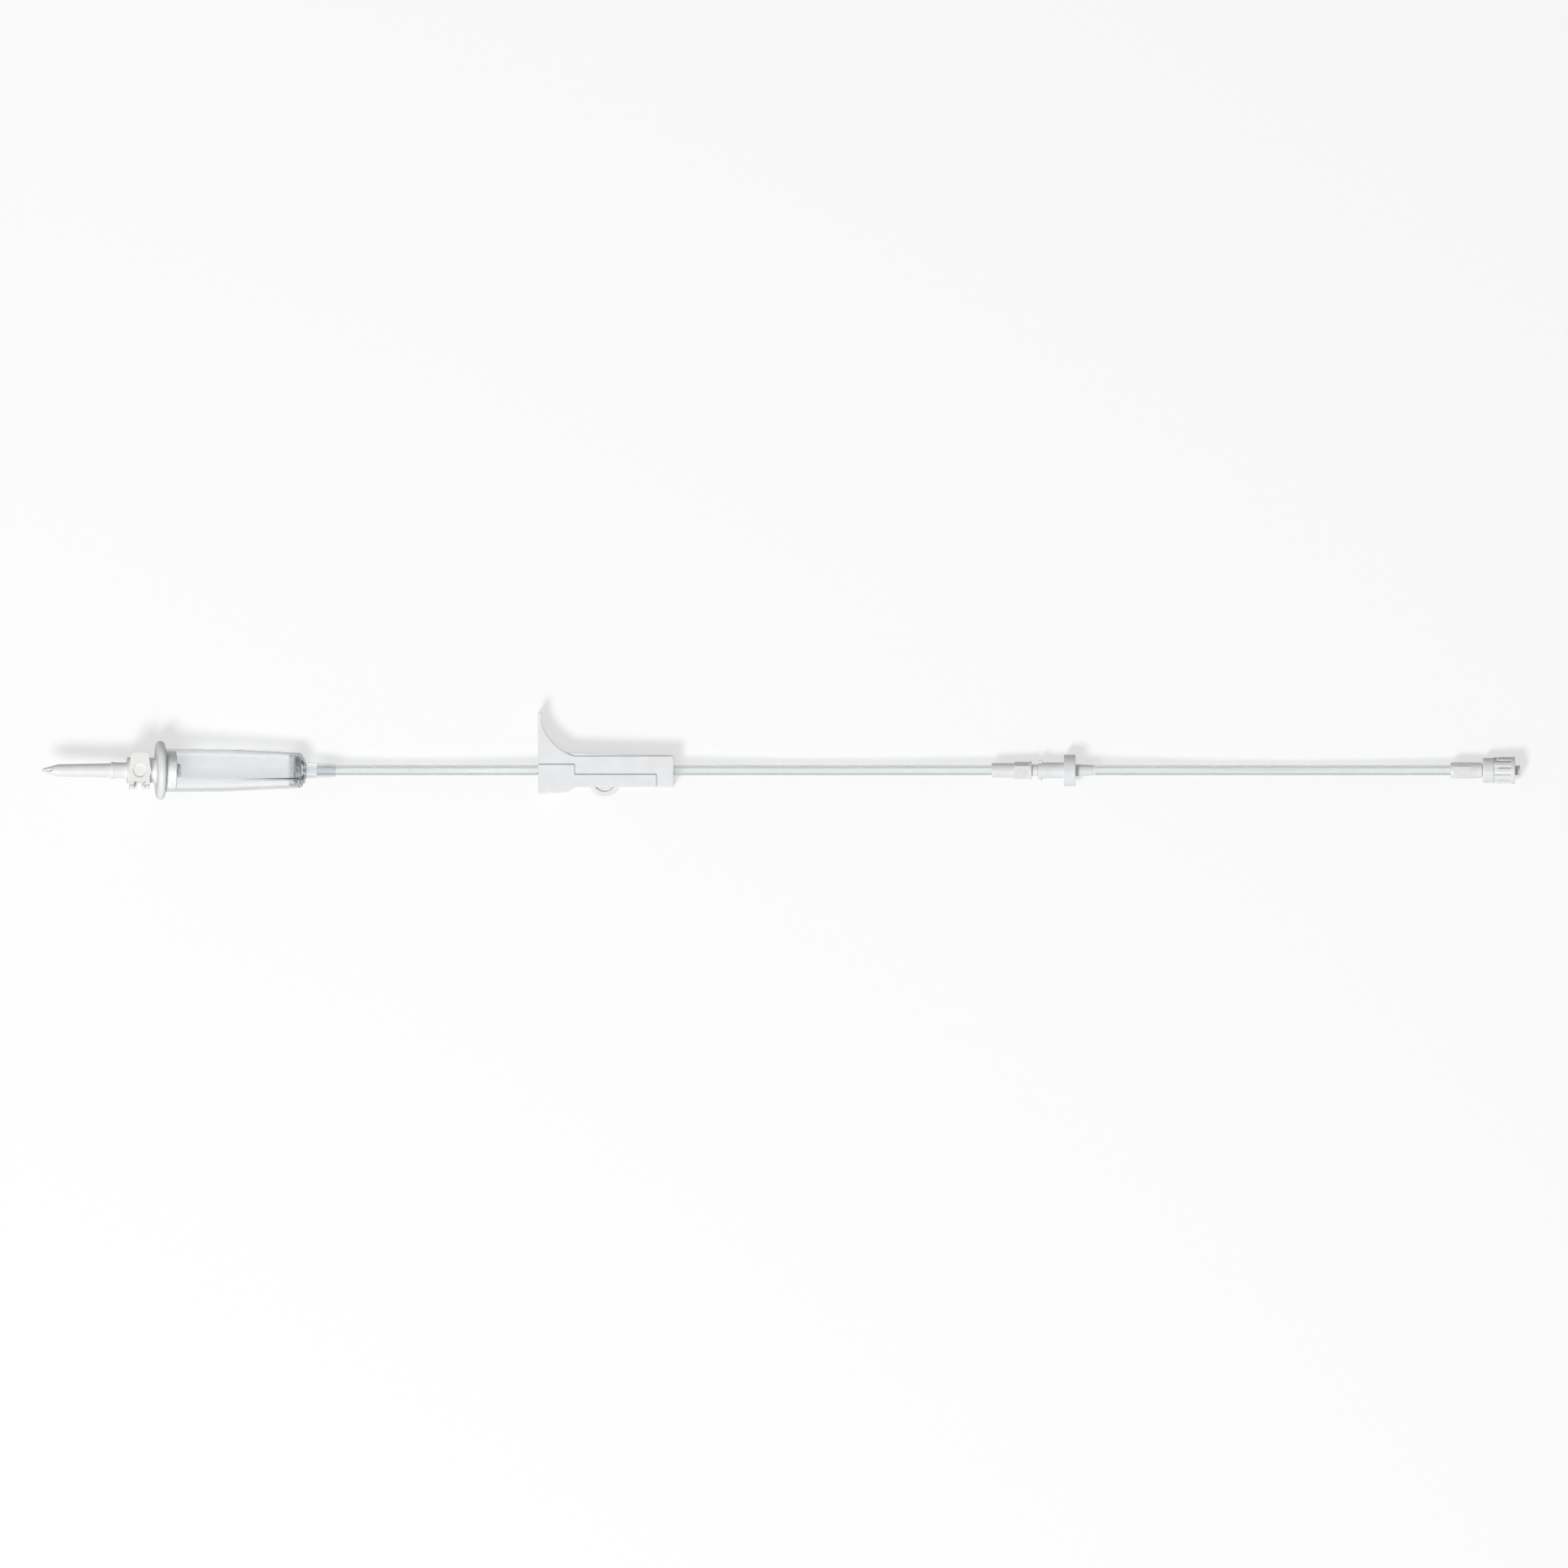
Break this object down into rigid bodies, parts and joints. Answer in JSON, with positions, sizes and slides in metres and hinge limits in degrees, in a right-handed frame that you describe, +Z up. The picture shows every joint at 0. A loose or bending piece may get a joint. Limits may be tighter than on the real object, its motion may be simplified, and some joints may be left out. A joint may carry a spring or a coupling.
{
  "type": "iv infusion set",
  "caption": "Gravity infusion set laid out straight: vented spike with finger flange, ribbed drip chamber, roller clamp, check valve and lock connector on soft clear tubing.",
  "frame": {"origin": "on the table under the middle of the laid out set, without its tubing", "axes": "+X along the set from the spike to the lock connector, +Y the side that the clamp's lip points to, +Z up from the table"},
  "size_m": [0.6374, 0.0376, 0.0253],
  "materials": {
    "spike_white": "satin moulded",
    "cap_white": "satin moulded",
    "filter_membrane": "matt membrane",
    "nozzle_natural": "natural moulded",
    "chamber_clear": "clear flexible",
    "outlet_clear": "clear flexible",
    "filter_mesh": "fine woven mesh",
    "tubing_clear": "clear flexible",
    "clamp_white": "satin moulded",
    "wheel_white": "satin moulded",
    "connector_clear": "clear rigid",
    "valve_clear": "clear rigid",
    "valve_silicone": "matt silicone",
    "collar_white": "satin moulded"
  },
  "bodies": {
    "line": {"spike_body": "spike_white", "vent_filter": "filter_membrane", "drop_nozzle": "nozzle_natural", "drip_chamber": "chamber_clear", "fluid_filter": "filter_mesh", "chamber_outlet": "outlet_clear", "line_tube": "tubing_clear", "line_connector": "connector_clear", "valve_inlet": "valve_clear", "valve_membrane": "valve_silicone", "valve_outlet": "valve_clear", "patient_tube": "tubing_clear", "end_connector": "connector_clear"},
    "clamp": {"clamp_body": "clamp_white"},
    "roller": {"clamp_wheel": "wheel_white"},
    "cap": {"vent_cap": "cap_white"},
    "collar": {"lock_collar": "collar_white"}
  },
  "joints": [
    {"name": "clamp_slide", "type": "slide", "parent": "line", "child": "clamp", "axis": [1, 0, 0], "range_m": [-0.08, 0.13], "deforming": ["line_tube"]},
    {"name": "roller_slide", "type": "slide", "parent": "clamp", "child": "roller", "axis": [0.9986, 0.0523, 0], "range_m": [-0.0104, 0.02], "deforming": ["line_tube"]},
    {"name": "vent_cap_hinge", "type": "hinge", "parent": "line", "child": "cap", "pos_m": [-0.27684, -0.01315, 0.01801], "axis": [0.9968, 0, -0.0794], "range_deg": [0, 135]},
    {"name": "collar_spin", "type": "hinge", "parent": "line", "child": "collar", "pos_m": [0.30247, -0.0061, 0.00584], "axis": [1, 0, 0], "continuous": true}
  ]
}
